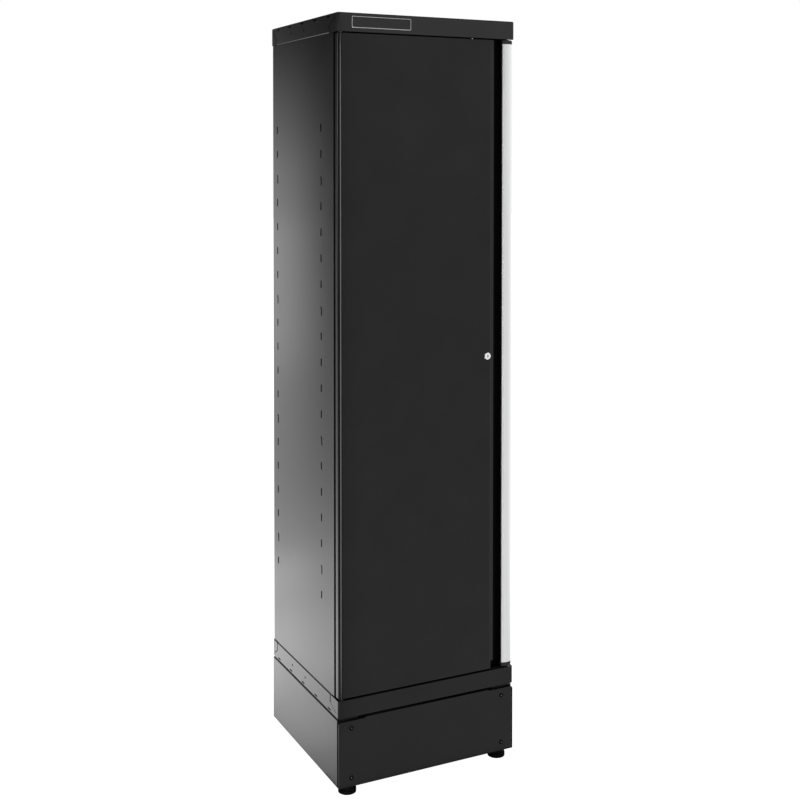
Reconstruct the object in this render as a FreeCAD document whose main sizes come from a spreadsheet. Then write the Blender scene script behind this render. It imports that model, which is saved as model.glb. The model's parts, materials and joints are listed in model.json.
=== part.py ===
import FreeCAD, Part
import os
import re
import Sketcher

# Tall single-door storage cabinet in folded sheet steel.
# Millimetres, +Z up, front towards -Y, origin on the floor under the middle of the cabinet.

doc = FreeCAD.newDocument("StorageCabinet")

# Driving dimensions

SIZES = {
    "overall_width": 518,
    "overall_depth": 470,
    "overall_height": 2000,
    "foot_clearance": 22,
    "plinth_height": 179,
    # trays
    "tray_sheet": 1.5,
    "top_tray_height": 48,
    "bottom_tray_height": 47,
    "tray_bend": 3.5,
    "tray_fold_bevel": 2,
    "tray_edge_bevel": 1,
    "tray_lip_depth": 19,
    "fold_slot_length": 18,
    "fold_slot_width": 4,
    "fold_slot_inset": 7,
    "fold_slot_front": 60,
    "fold_slot_rear": 50,
    "fold_slot_count": 5,
    "unit_bolt_radius": 3.25,
    "unit_bolt_clearance": 5,
    "unit_bolt_inset": 26,
    "unit_bolt_first": 226,
    "unit_bolt_spacing": 93,
    "seam_gap": 4.5,
    "front_tab_length": 55,
    "rear_tab_length": 37,
    "tab_straight": 20,
    "tab_tip": 12,
    # side panels, uprights and back panel
    "panel_sheet": 1,
    "panel_tray_gap": 0.9,
    "panel_end_gap": 10,
    "panel_corner_gap": 2.5,
    "slot_length": 20,
    "slot_width": 7,
    "slot_pitch": 68,
    "slot_count": 19,
    "slot_front_inset": 115,
    "slot_rear_inset": 38,
    "upright_sheet": 1.2,
    "upright_bend": 1,
    "hinge_flange": 26,
    "latch_flange": 38.5,
    "upright_depth": 12,
    "back_sheet": 1,
    "back_bend": 1,
    "back_flange": 14,
    "hole_clearance": 0.1,
    # door
    "door_gap_below": 4,
    "door_gap_above": 3,
    "door_setback": 2,
    "door_side_gap": 3,
    "door_thickness": 20,
    "door_sheet": 1.2,
    "door_hinge_radius": 9,
    "door_latch_bend": 6.8,
    "door_end_bevel": 1,
    "door_lip": 14,
    "handle_zone": 65,
    "stiffener_sheet": 1,
    "stiffener_width": 80,
    "stiffener_crown": 46,
    "stiffener_end_gap": 40,
    "stiffener_back_gap": 1.5,
    # door hinges
    "hinge_inset": 12.5,
    "swing_clearance": 7,
    "pin_radius": 3,
    "pin_head_radius": 4.5,
    "pin_head_height": 3,
    "pin_stand": 9,
    "pin_fit": 0.05,
    "bush_wall": 1.5,
    "bush_flange_radius": 6,
    "bush_tail": 3,
    "bush_play": 0.3,
    "pivot_plate_sheet": 3,
    "pivot_plate_length": 40,
    "pivot_plate_gap": 0.3,
    # handle
    "handle_side_gap": 4,
    "grip_width": 29.5,
    "grip_crown": 4.5,
    "grip_sheet": 2,
    "grip_hook": 5,
    "lip_setback": 8.5,
    "lip_width": 8,
    "lip_fall": 1.5,
    "channel_sheet": 1.5,
    "cap_height": 10,
    "cap_plug": 9,
    "cap_round": 4,
    # lock
    "lock_height": 1102,
    "lock_face_radius": 9.4,
    "lock_barrel_radius": 5.5,
    "lock_plug_radius": 4.2,
    "lock_fit": 0.05,
    "lock_nut_across": 13,
    "lock_nut_height": 4,
    "lock_nut_gap": 0.3,
    "key_slot_length": 7,
    "key_slot_width": 3.2,
    "key_slot_depth": 12,
    "cam_clearance": 4,
    "cam_sheet": 2,
    "cam_width": 14,
    "cam_catch": 8.5,
    "cam_tail": 10,
    "cam_square": 5.6,
    "cam_window_margin": 4,
    "cam_window_side": 2.5,
    "cam_screw_radius": 5,
    "cam_screw_height": 3,
    "face_chamfer": 1,
    # buffers between the door and the frame
    "buffer_radius": 5,
    "buffer_height": 2.7,
    "buffer_gap": 0.3,
    "buffer_inset": 20,
    "buffer_end_distance": 150,
    # shelves and clips
    "shelf_count": 4,
    "shelf_first_slot": 1,
    "shelf_slot_step": 5,
    "shelf_sheet": 1,
    "shelf_depth": 28,
    "shelf_lip": 14,
    "shelf_side_gap": 1,
    "shelf_end_gap": 2,
    "shelf_bend": 0.5,
    "clip_thickness": 3.2,
    "clip_reach": 15,
    "clip_seat": 4,
    "clip_drop": 4,
    "clip_hook": 1.2,
    "clip_nose": 6,
    # plinth
    "plinth_sheet": 1.5,
    "plinth_flange": 58,
    "plinth_gap": 4,
    "plinth_seat_inset": 10,
    "plinth_bend": 1,
    "plinth_rear_depth": 25,
    "plate_side_gap": 0.3,
    "plate_low_gap": 0.5,
    "plate_high_gap": 5.2,
    "plate_notch_length": 75,
    "plate_notch_drop": 3,
    "plate_corner_radius": 6,
    "plate_flange": 18,
    "plate_standoff": 6.5,
    "tab_lap": 6,
    # levelling feet
    "front_foot_inset": 36,
    "rear_foot_inset": 46,
    "foot_inset_end": 27,
    "foot_radius": 23.5,
    "foot_waist_radius": 20,
    "foot_rim_height": 9,
    "foot_play": 0.3,
    "stud_radius": 5,
    "stud_length": 48,
    "stud_seat": 8,
    "stud_fit": 0.05,
    "foot_nut_across": 17,
    "foot_nut_height": 8,
}

# Places and sizes that follow from the driving dimensions

FORMULAS = {
    "left": "-overall_width / 2",
    "right": "overall_width / 2",
    "front": "-overall_depth / 2",
    "rear": "overall_depth / 2",
    "tray_corner": "tray_bend + tray_sheet",
    "base_top": "foot_clearance + plinth_height",
    "bottom_edge": "base_top + bottom_tray_height",
    "top_edge": "overall_height - top_tray_height",
    "left_wall": "left + tray_sheet + panel_tray_gap",
    "right_wall": "right - tray_sheet - panel_tray_gap",
    "left_inner": "left_wall + panel_sheet",
    "right_inner": "right_wall - panel_sheet",
    "panel_rear": "rear - tray_sheet",
    "panel_low": "base_top + tray_sheet + panel_end_gap",
    "panel_high": "overall_height - tray_sheet - panel_end_gap",
    "fold_slot_span": "overall_depth - fold_slot_front - fold_slot_rear",
    "slot_column_front": "front + slot_front_inset",
    "slot_column_rear": "rear - slot_rear_inset",
    "slot_span": "slot_pitch * (slot_count - 1)",
    "slot_first": "(bottom_edge + top_edge) / 2 - slot_span / 2",
    "door_latch_radius": "door_latch_bend + door_sheet",
    "door_low": "bottom_edge + door_gap_below",
    "door_high": "top_edge - door_gap_above",
    "door_left": "left + door_side_gap",
    "door_right": "right - handle_zone",
    "door_front": "front + door_setback",
    "door_inside": "door_front + door_sheet",
    "door_back": "door_front + door_thickness",
    "hinge_x": "left + hinge_inset",
    "hinge_y": "door_front + door_thickness / 2",
    "door_swing": "sqrt((hinge_inset - door_side_gap) ^ 2 + (door_thickness / 2) ^ 2)",
    "frame_front": "hinge_y + door_swing + swing_clearance",
    "frame_back": "frame_front + upright_sheet",
    "upright_back": "frame_front + upright_depth",
    "latch_edge": "right_wall - latch_flange",
    "bush_radius": "pin_radius + pin_fit + bush_wall",
    "pin_hole": "pin_radius + hole_clearance",
    "channel_back": "frame_front - buffer_height - buffer_gap",
    "recess_floor": "channel_back - channel_sheet",
    "handle_right": "right - handle_side_gap",
    "grip_left": "handle_right - grip_width",
    "grip_edge": "front + grip_crown",
    "lip_end": "door_right + lip_width",
    "lip_front": "front + lip_setback",
    "recess_front": "lip_front + lip_fall",
    "lock_x": "door_right - door_latch_radius - lock_nut_gap - lock_nut_across / 2",
    "cam_front": "frame_back + cam_clearance",
    "cam_back": "cam_front + cam_sheet",
    "barrel_end": "cam_front - lock_fit",
    "cam_reach": "latch_edge - lock_x + cam_catch",
    "cam_sweep": "sqrt(cam_reach ^ 2 + (cam_width / 2) ^ 2 - (latch_edge - lock_x) ^ 2)",
    "shelf_half": "right_inner - back_sheet - shelf_side_gap",
    "shelf_front": "upright_back + shelf_end_gap",
    "shelf_rear": "panel_rear - back_sheet - shelf_end_gap",
    "plinth_top": "base_top - plinth_gap",
    "plate_back": "front + plinth_sheet",
    "plinth_front": "plate_back + plate_standoff",
    "plate_low": "foot_clearance + plate_low_gap",
    "plate_high": "base_top - plate_high_gap",
    "plate_shoulder": "plate_high - plate_notch_drop",
    "plate_left": "left + plate_side_gap",
    "plate_right": "right - plate_side_gap",
    "foot_top": "foot_clearance - foot_play",
    "foot_seat": "foot_clearance + plinth_sheet",
    "front_foot_x": "overall_width / 2 - front_foot_inset",
    "rear_foot_x": "overall_width / 2 - rear_foot_inset",
    "foot_front": "front + foot_inset_end",
    "foot_rear": "rear - foot_inset_end",
}

sizes = doc.addObject("Spreadsheet::Sheet", "Sizes")
for row, (alias, number) in enumerate(SIZES.items(), start=1):
    sizes.set(f"A{row}", alias)
    sizes.set(f"B{row}", str(number))
    sizes.setAlias(f"B{row}", alias)
doc.recompute()

MARGIN = 2.0  # how far a cut starts outside the wall it goes through
TOUCH = 0.001  # two coordinates closer than this count as the same


def link(text):
    """Turn plain words into an expression on the sheet's cells."""
    def swap(match):
        word = match.group(0)
        if word in ("sqrt", "abs"):
            return word
        if word in FORMULAS:
            return "(" + link(FORMULAS[word]) + ")"
        return "Sizes." + word
    return re.sub(r"[a-z_]+", swap, text)


def value(text):
    """The number that an expression gives with the sheet as it is."""
    return float(sizes.evalExpression(link(text)))


def drive(thing, place, text):
    """Bind one property of an object to the sheet."""
    thing.setExpression(place, link(text))


# Sketch and feature helpers

pieces = []


def new_body(name):
    body = doc.addObject("PartDesign::Body", name)
    body.Label = name
    pieces.append(body)
    return body


def origin_feature(body, role):
    for feature in body.Origin.OriginFeatures:
        if feature.Role == role:
            return feature
    raise ValueError(role)


def new_sketch(body, role, offset="0"):
    """A sketch on one of the body's own planes, moved along that plane's normal."""
    sketch = body.newObject("Sketcher::SketchObject", body.Name + "_outline")
    sketch.AttachmentSupport = [(origin_feature(body, role), "")]
    sketch.MapMode = "FlatFace"
    drive(sketch, "AttachmentOffset.Base.z", offset)
    return sketch


def pin_point(sketch, element, end, place):
    """Hold one point of a sketch at a pair of expressions, measured from the origin."""
    for kind, text in zip(("DistanceX", "DistanceY"), place):
        held = Sketcher.Constraint(kind, -1, 1, element, end, value(text))
        number = sketch.addConstraint(held)
        drive(sketch, f"Constraints[{number}]", text)


def outline(sketch, points, crowns=None):
    """Close an outline through points; crowns gives the rise of each side that is an arc."""
    crowns = crowns or {}
    corners = [FreeCAD.Vector(value(x), value(y), 0) for x, y in points]
    ends = []
    for index, start in enumerate(corners):
        finish = corners[(index + 1) % len(corners)]
        if index in crowns:
            chord = finish - start
            across = FreeCAD.Vector(chord.y, -chord.x, 0).normalize()
            middle = (start + finish) / 2 + across * value(crowns[index])
            element = sketch.addGeometry(Part.Arc(start, middle, finish), False)
        else:
            element = sketch.addGeometry(Part.LineSegment(start, finish), False)
        forward = sketch.getPoint(element, 1).distanceToPoint(start) < TOUCH
        ends.append((element, 1, 2) if forward else (element, 2, 1))
    for index, (element, first, last) in enumerate(ends):
        next_element, next_first, _ = ends[(index + 1) % len(ends)]
        joined = Sketcher.Constraint("Coincident", element, last, next_element, next_first)
        sketch.addConstraint(joined)
        pin_point(sketch, element, first, points[index])
        if index in crowns:
            x, y = points[index]
            next_x, next_y = points[(index + 1) % len(points)]
            half_square = f"((({next_x}) - ({x})) ^ 2 + (({next_y}) - ({y})) ^ 2) / 4"
            rise = f"abs({crowns[index]})"
            radius = f"({half_square} + {rise} ^ 2) / (2 * {rise})"
            number = sketch.addConstraint(Sketcher.Constraint("Radius", element, value(radius)))
            drive(sketch, f"Constraints[{number}]", radius)


def rectangle(sketch, low_x, low_y, high_x, high_y):
    outline(sketch, [(low_x, low_y), (high_x, low_y), (high_x, high_y), (low_x, high_y)])


def circle(sketch, x, y, radius):
    centre = FreeCAD.Vector(value(x), value(y), 0)
    ring = Part.Circle(centre, FreeCAD.Vector(0, 0, 1), value(radius))
    element = sketch.addGeometry(ring, False)
    pin_point(sketch, element, 3, (x, y))
    number = sketch.addConstraint(Sketcher.Constraint("Radius", element, value(radius)))
    drive(sketch, f"Constraints[{number}]", radius)


def hexagon(sketch, x, y, across):
    """A hexagon with two flat sides upright in the sketch."""
    half = f"({across}) / 2"
    short = f"({across}) / (2 * sqrt(3))"
    long = f"({across}) / sqrt(3)"
    steps = [("0", f"-{long}"), (half, f"-{short}"), (half, short),
             ("0", long), (f"-{half}", short), (f"-{half}", f"-{short}")]
    outline(sketch, [(f"{x} + {dx}", f"{y} + {dy}") for dx, dy in steps])


def pad(body, sketch, length, backwards=False):
    feature = body.newObject("PartDesign::Pad", body.Name + "_pad")
    feature.Profile = sketch
    drive(feature, "Length", length)
    feature.Reversed = backwards
    doc.recompute()
    return feature


def cut(body, sketch, length, along_normal=False):
    """Cut a sketch into the body, against its plane's normal unless along_normal is set."""
    before = body.Shape.Volume
    feature = body.newObject("PartDesign::Pocket", body.Name + "_cut")
    feature.Profile = sketch
    drive(feature, "Length", length)
    feature.Reversed = along_normal
    doc.recompute()
    if body.Shape.Volume > before - TOUCH:
        raise RuntimeError(body.Label + ": a cut took nothing away")
    return feature


def edges_where(shape, test):
    return [f"Edge{number}" for number, edge in enumerate(shape.Edges, start=1) if test(edge)]


def faces_where(shape, test):
    return [f"Face{number}" for number, face in enumerate(shape.Faces, start=1) if test(face)]


def spans(edge, axis):
    """Whether an edge runs along one axis, given as 0, 1 or 2."""
    box = edge.BoundBox
    lengths = [box.XLength, box.YLength, box.ZLength]
    return lengths.pop(axis) > TOUCH and max(lengths) < TOUCH


def at_corner(places, axis):
    """A test for edges along one axis that stand at one of the given pairs of expressions."""
    numbers = [(value(first), value(second)) for first, second in places]

    def test(edge):
        if not spans(edge, axis):
            return False
        middle = list(edge.CenterOfMass)
        middle.pop(axis)
        return any(max(abs(middle[0] - one), abs(middle[1] - two)) < TOUCH for one, two in numbers)
    return test


def in_plane(axis, text):
    """A test for edges or faces that lie in one plane across an axis."""
    level = value(text)

    def test(element):
        box = element.BoundBox
        low = (box.XMin, box.YMin, box.ZMin)[axis]
        high = (box.XMax, box.YMax, box.ZMax)[axis]
        return abs(low - level) < TOUCH and abs(high - level) < TOUCH
    return test


def round_edges(body, test, radius):
    base = body.Tip
    names = edges_where(base.Shape, test)
    feature = body.newObject("PartDesign::Fillet", body.Name + "_round")
    feature.Base = (base, names)
    drive(feature, "Radius", radius)
    doc.recompute()
    return feature


def bevel_edges(body, test, size):
    base = body.Tip
    names = edges_where(base.Shape, test)
    feature = body.newObject("PartDesign::Chamfer", body.Name + "_bevel")
    feature.Base = (base, names)
    drive(feature, "Size", size)
    doc.recompute()
    return feature


def hollow(body, sheet, axis, open_side):
    """Turn a block into folded sheet, with one face left open."""
    base = body.Tip
    feature = body.newObject("PartDesign::Thickness", body.Name + "_sheet")
    feature.Base = (base, faces_where(base.Shape, in_plane(axis, open_side)))
    drive(feature, "Value", sheet)
    feature.Reversed = True
    doc.recompute()
    return feature


def repeat(body, feature, axis, length, count, whole=False):
    """Repeat a feature, or the whole body, along one of the body's axes."""
    pattern = body.newObject("PartDesign::LinearPattern", body.Name + "_row")
    if whole:
        pattern.TransformMode = "Whole shape"
    else:
        pattern.Originals = [feature]
    pattern.Direction = (origin_feature(body, axis), [""])
    drive(pattern, "Length", length)
    drive(pattern, "Occurrences", count)
    body.Tip = pattern
    doc.recompute()
    return pattern


def mirror(body, role):
    """Mirror the whole body in one of its planes and keep both halves."""
    feature = body.newObject("PartDesign::Mirrored", body.Name + "_pair")
    feature.TransformMode = "Whole shape"
    feature.MirrorPlane = (origin_feature(body, role), [""])
    body.Tip = feature
    doc.recompute()
    return feature


def upright_block(body, low_x, low_y, high_x, high_y, low_z, high_z):
    sketch = new_sketch(body, "XY_Plane", low_z)
    rectangle(sketch, low_x, low_y, high_x, high_y)
    return pad(body, sketch, f"({high_z}) - ({low_z})")


def across_sketch(body, y):
    """A sketch that faces the front: X to the right, Z up, at one depth."""
    return new_sketch(body, "XZ_Plane", f"-({y})")


def rod(body, x, z, radius, start_y, end_y):
    """A round bar that runs from front to back."""
    sketch = across_sketch(body, end_y)
    circle(sketch, x, z, radius)
    return pad(body, sketch, f"({end_y}) - ({start_y})")


def bore(body, x, z, radius, start_y, end_y):
    """A round hole that runs from front to back."""
    sketch = across_sketch(body, start_y)
    circle(sketch, x, z, radius)
    return cut(body, sketch, f"({end_y}) - ({start_y})")


def post(body, x, y, radius, low_z, high_z):
    """A round bar that stands upright."""
    sketch = new_sketch(body, "XY_Plane", low_z)
    circle(sketch, x, y, radius)
    return pad(body, sketch, f"({high_z}) - ({low_z})")


def upright_holes(body, places, radius, low_z, high_z):
    sketch = new_sketch(body, "XY_Plane", high_z)
    for x, y in places:
        circle(sketch, x, y, radius)
    return cut(body, sketch, f"({high_z}) - ({low_z})")


# Trays

def build_tray(name, plate, edge, inward):
    """A folded tray; inward is the sign of the way from the plate to the flanges' free edge."""
    body = new_body(name)
    low, high = (plate, edge) if inward == "+" else (edge, plate)
    upright_block(body, "left", "front", "right", "rear", low, high)
    round_edges(body, lambda side: spans(side, 2), "tray_corner")
    bevel_edges(body, in_plane(2, plate), "tray_fold_bevel")
    hollow(body, "tray_sheet", 2, edge)

    # the front flange ends in a lip that carries the door's hinge bush
    lip_low = f"{edge} - tray_sheet" if inward == "+" else edge
    lip = new_sketch(body, "XY_Plane", lip_low)
    rectangle(lip, "left + tray_corner", "front + tray_sheet / 2",
              "right - tray_corner", "front + tray_lip_depth")
    pad(body, lip, "tray_sheet")
    upright_holes(body, [("hinge_x", "hinge_y")], "bush_radius + hole_clearance",
                  f"{lip_low} - tray_sheet", f"{lip_low} + 2 * tray_sheet")

    # slots along the fold, through both side flanges
    slot = new_sketch(body, "YZ_Plane", f"right + {MARGIN}")
    slot_level = f"{plate} {inward} fold_slot_inset"
    rectangle(slot, "front + fold_slot_front - fold_slot_length / 2", f"{slot_level} - fold_slot_width / 2",
              "front + fold_slot_front + fold_slot_length / 2", f"{slot_level} + fold_slot_width / 2")
    first = cut(body, slot, f"overall_width + 2 * {MARGIN}")
    repeat(body, first, "Y_Axis", "fold_slot_span", "fold_slot_count")

    # two holes in each side flange, for bolting units side by side
    holes = new_sketch(body, "YZ_Plane", f"right + {MARGIN}")
    for along in ("unit_bolt_first", "unit_bolt_first + unit_bolt_spacing"):
        circle(holes, f"front + {along}", f"{plate} {inward} unit_bolt_inset", "unit_bolt_radius")
    cut(body, holes, f"overall_width + 2 * {MARGIN}")

    # the seams where the end flanges' tabs wrap round onto the side flanges
    seams = new_sketch(body, "YZ_Plane", f"right + {MARGIN}")
    for corner, turn, length in (("front", "+", "front_tab_length"), ("rear", "-", "rear_tab_length")):
        outer = f"{edge} {inward} {MARGIN}"
        elbow = f"({edge}) - ({inward}tab_straight)"
        tip = f"({plate}) {inward} tab_tip"
        far = f"{corner} {turn} {length}"
        near = f"{corner} {turn} ({length} - seam_gap)"
        end = f"{corner} {turn} tab_tip"
        outline(seams, [(far, outer), (far, elbow), (f"{end} {turn} seam_gap", tip),
                        (end, tip), (near, elbow), (near, outer)])
    cut(body, seams, f"overall_width + 2 * {MARGIN}")

    # between the tabs, the side flanges' free edge is eased on the outside
    def free_edge(side):
        starts = value("front + front_tab_length") - TOUCH < side.BoundBox.YMin
        ends = side.BoundBox.YMax < value("rear - rear_tab_length") + TOUCH
        return starts and ends and at_corner([("left", edge), ("right", edge)], 1)(side)

    bevel_edges(body, free_edge, "tray_edge_bevel")
    return body


build_tray("top_tray", "overall_height", "top_edge", "-")
build_tray("bottom_tray", "base_top", "bottom_edge", "+")


# Side panels

def build_side(name, low_x, high_x):
    """A flat side sheet with two columns of upright slots for the shelf clips."""
    body = new_body(name)
    upright_block(body, low_x, "frame_front", high_x, "panel_rear - panel_corner_gap",
                  "panel_low", "panel_high")
    outside = f"({high_x}) + {MARGIN}"
    depth = f"panel_sheet + 2 * {MARGIN}"
    slots = new_sketch(body, "YZ_Plane", outside)
    for column in ("slot_column_front", "slot_column_rear"):
        rectangle(slots, f"{column} - slot_width / 2", "slot_first - slot_length / 2",
                  f"{column} + slot_width / 2", "slot_first + slot_length / 2")
    first = cut(body, slots, depth)
    repeat(body, first, "Z_Axis", "slot_span", "slot_count")

    # holes behind those of the trays, wider so that a bolt passes
    holes = new_sketch(body, "YZ_Plane", outside)
    for along in ("unit_bolt_first", "unit_bolt_first + unit_bolt_spacing"):
        for level in ("base_top + unit_bolt_inset", "overall_height - unit_bolt_inset"):
            circle(holes, f"front + {along}", level, "unit_bolt_radius + unit_bolt_clearance")
    cut(body, holes, depth)
    return body


build_side("left_side_panel", "left_wall", "left_inner")
build_side("right_side_panel", "right_inner", "right_wall")


# Front uprights: folded channels welded inside the side panels, which frame the door

def build_upright(name, wall, tip, inward):
    """One upright; inward is the sign of the way from the side panel into the cabinet."""
    body = new_body(name)
    leg_inner = f"{wall} {inward} upright_sheet"
    tip_inner = f"({tip}) - ({inward}upright_sheet)"
    profile = new_sketch(body, "XY_Plane", "panel_low")
    outline(profile, [
        (wall, "frame_front"), (wall, "upright_back"), (leg_inner, "upright_back"), (leg_inner, "frame_back"),
        (tip_inner, "frame_back"), (tip_inner, "upright_back"), (tip, "upright_back"), (tip, "frame_front")])
    pad(body, profile, "panel_high - panel_low")
    round_edges(body, at_corner([(wall, "frame_front"), (tip, "frame_front")], 2),
                "upright_bend + upright_sheet")
    round_edges(body, at_corner([(leg_inner, "frame_back"), (tip_inner, "frame_back")], 2), "upright_bend")
    return body


build_upright("left_front_upright", "left_inner", "left_wall + hinge_flange", "+")
latch_upright = build_upright("right_front_upright", "right_inner", "latch_edge", "-")

# the lock cam passes through a window in the latch upright's inner leg
window = new_sketch(latch_upright, "YZ_Plane", f"latch_edge - {MARGIN}")
rectangle(window, "cam_front - cam_window_side", "lock_height - cam_width / 2 - cam_window_margin",
          "cam_back + cam_window_side", "lock_height + cam_sweep + cam_window_margin")
cut(latch_upright, window, f"upright_sheet + 2 * {MARGIN}", along_normal=True)


# Back panel, a shallow pan that stands between the side panels

back = new_body("back_panel")
upright_block(back, "left_inner", "panel_rear - back_flange", "right_inner", "panel_rear",
              "panel_low", "panel_high")
round_edges(back, in_plane(1, "panel_rear"), "back_bend + back_sheet")
hollow(back, "back_sheet", 1, "panel_rear - back_flange")


# Shelves and the clips that carry them

def build_shelf(number):
    """A shelf folded down on four sides, with a lip turned in along its lower edge."""
    body = new_body(f"shelf_{number}")
    slot = f"slot_first + slot_pitch * (shelf_first_slot + shelf_slot_step * {number - 1})"
    low = f"{slot} + clip_seat"
    levels = [("shelf_lip", low, f"{low} + shelf_sheet"),
              ("shelf_sheet", f"{low} + shelf_sheet", f"{low} + shelf_depth - shelf_sheet")]
    for rim, start, finish in levels:
        ring = new_sketch(body, "XY_Plane", start)
        rectangle(ring, "-shelf_half", "shelf_front", "shelf_half", "shelf_rear")
        rectangle(ring, f"-shelf_half + {rim}", f"shelf_front + {rim}",
                  f"shelf_half - {rim}", f"shelf_rear - {rim}")
        pad(body, ring, f"({finish}) - ({start})")
    upright_block(body, "-shelf_half", "shelf_front", "shelf_half", "shelf_rear",
                  f"{low} + shelf_depth - shelf_sheet", f"{low} + shelf_depth")
    round_edges(body, in_plane(2, f"{low} + shelf_depth"), "shelf_bend + shelf_sheet")
    return body


for shelf_number in range(1, int(value("shelf_count")) + 1):
    build_shelf(shelf_number)

clips = new_body("shelf_clips")
clip_slot = "slot_first + slot_pitch * shelf_first_slot"
slot_low = f"{clip_slot} - slot_length / 2"
clip_inner = "left_inner"
profile = across_sketch(clips, "slot_column_front + clip_thickness / 2")
outline(profile, [
    ("left_wall - clip_hook", f"{clip_slot} + clip_seat"),
    ("left_wall - clip_hook", f"{slot_low} - clip_drop"),
    ("left_wall", f"{slot_low} - clip_drop"), ("left_wall", slot_low),
    (clip_inner, slot_low), (clip_inner, f"{slot_low} - clip_drop"),
    (f"{clip_inner} + clip_reach", f"{clip_slot} + clip_seat - clip_nose"),
    (f"{clip_inner} + clip_reach", f"{clip_slot} + clip_seat")])
pad(clips, profile, "clip_thickness")
repeat(clips, None, "Y_Axis", "slot_column_rear - slot_column_front", "2", whole=True)
repeat(clips, None, "Z_Axis", "slot_pitch * shelf_slot_step * (shelf_count - 1)", "shelf_count", whole=True)
mirror(clips, "YZ_Plane")


# Door

door = new_body("door_panel")
upright_block(door, "door_left", "door_front", "door_right", "door_back", "door_low", "door_high")
round_edges(door, at_corner([("door_left", "door_front")], 2), "door_hinge_radius")
round_edges(door, at_corner([("door_right", "door_front")], 2), "door_latch_radius")
bevel_edges(door, at_corner([("door_front", "door_low"), ("door_front", "door_high")], 0), "door_end_bevel")
hollow(door, "door_sheet", 1, "door_back")

# a lip turned in along the hinge side, the top and the bottom
lip = across_sketch(door, "door_back")
lip_left, lip_right = "door_left + door_sheet / 2", "door_right - door_sheet / 2"
lip_low, lip_high = "door_low + door_sheet / 2", "door_high - door_sheet / 2"
outline(lip, [
    (lip_left, lip_low), (lip_right, lip_low), (lip_right, "door_low + door_lip"),
    ("door_left + door_lip", "door_low + door_lip"), ("door_left + door_lip", "door_high - door_lip"),
    (lip_right, "door_high - door_lip"), (lip_right, lip_high), (lip_left, lip_high)])
pad(door, lip, "door_sheet")
upright_holes(door, [("hinge_x", "hinge_y")], "pin_hole", f"door_low - {MARGIN}", f"door_high + {MARGIN}")
bore(door, "lock_x", "lock_height", "lock_barrel_radius + hole_clearance",
     f"door_front - {MARGIN}", f"door_inside + {MARGIN}")

stiffener = new_body("door_stiffener")
centre = "(door_left + door_right) / 2"
crown_half = "stiffener_crown / 2"
web_out = f"{crown_half} + stiffener_sheet"
foot_half = "stiffener_width / 2"
crown_y = "door_back - stiffener_back_gap"
foot_y = "door_inside + stiffener_sheet"
hat = new_sketch(stiffener, "XY_Plane", "door_low + stiffener_end_gap")
outline(hat, [
    (f"{centre} - {foot_half}", "door_inside"), (f"{centre} - {crown_half}", "door_inside"),
    (f"{centre} - {crown_half}", f"{crown_y} - stiffener_sheet"),
    (f"{centre} + {crown_half}", f"{crown_y} - stiffener_sheet"),
    (f"{centre} + {crown_half}", "door_inside"), (f"{centre} + {foot_half}", "door_inside"),
    (f"{centre} + {foot_half}", foot_y), (f"{centre} + {web_out}", foot_y),
    (f"{centre} + {web_out}", crown_y), (f"{centre} - ({web_out})", crown_y),
    (f"{centre} - ({web_out})", foot_y), (f"{centre} - {foot_half}", foot_y)])
pad(stiffener, hat, "door_high - door_low - 2 * stiffener_end_gap")


# Door hinges: a pin in the door at the top and at the bottom, turning in a bush in each tray's lip

def build_hinge(end, door_edge, tray_edge, outward, gap):
    """One hinge; outward is the sign of the way from the door into the tray."""
    inside = f"({door_edge}) - ({outward}door_sheet)"
    plate_inside = f"({inside}) - ({outward}pivot_plate_sheet)"
    head_end = f"({plate_inside}) - ({outward}pin_head_height)"
    lip_inside = f"({tray_edge}) {outward} tray_sheet"
    flange_face = f"({tray_edge}) - ({outward}({gap} - bush_play))"

    def ordered(start, finish):
        return (start, finish) if outward == "+" else (finish, start)

    plate = new_body(f"{end}_pivot_plate")
    low, high = ordered(plate_inside, inside)
    edge = "pin_head_radius - pivot_plate_gap"
    half_depth = "door_thickness / 2 - door_sheet - pivot_plate_gap"
    upright_block(plate, f"hinge_x - ({edge})", f"hinge_y - ({edge})",
                  f"hinge_x - ({edge}) + pivot_plate_length", f"hinge_y + {half_depth}", low, high)
    round_edges(plate, at_corner([(f"hinge_x - ({edge})", f"hinge_y - ({edge})")], 2), edge)
    upright_holes(plate, [("hinge_x", "hinge_y")], "pin_hole", f"{low} - {MARGIN}", f"{high} + {MARGIN}")

    pin = new_body(f"{end}_hinge_pin")
    post(pin, "hinge_x", "hinge_y", "pin_head_radius", *ordered(head_end, plate_inside))
    pin_end = f"({tray_edge}) {outward} pin_stand"
    post(pin, "hinge_x", "hinge_y", "pin_radius", *ordered(plate_inside, pin_end))

    bush = new_body(f"{end}_hinge_bush")
    post(bush, "hinge_x", "hinge_y", "bush_flange_radius", *ordered(flange_face, tray_edge))
    post(bush, "hinge_x", "hinge_y", "bush_radius", *ordered(tray_edge, f"{lip_inside} {outward} bush_tail"))
    low, high = ordered(flange_face, f"{lip_inside} {outward} bush_tail")
    upright_holes(bush, [("hinge_x", "hinge_y")], "pin_radius + pin_fit",
                  f"{low} - {MARGIN}", f"{high} + {MARGIN}")


build_hinge("upper", "door_high", "top_edge", "+", "door_gap_above")
build_hinge("lower", "door_low", "bottom_edge", "-", "door_gap_below")


# Handle: a dark channel with a sloped lip, and a bright crowned grip that overhangs it

channel = new_body("handle_channel")
profile = new_sketch(channel, "XY_Plane", "door_low + cap_height + cap_plug")
outline(profile, [
    ("door_right", "lip_front"), ("lip_end", "recess_front"), ("lip_end", "recess_floor"),
    ("handle_right", "recess_floor"), ("handle_right", "channel_back"), ("door_right", "channel_back")])
pad(channel, profile, "door_high - door_low - 2 * cap_height - cap_plug")
round_edges(channel, at_corner([("lip_end", "recess_front")], 2), "channel_sheet")

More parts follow.
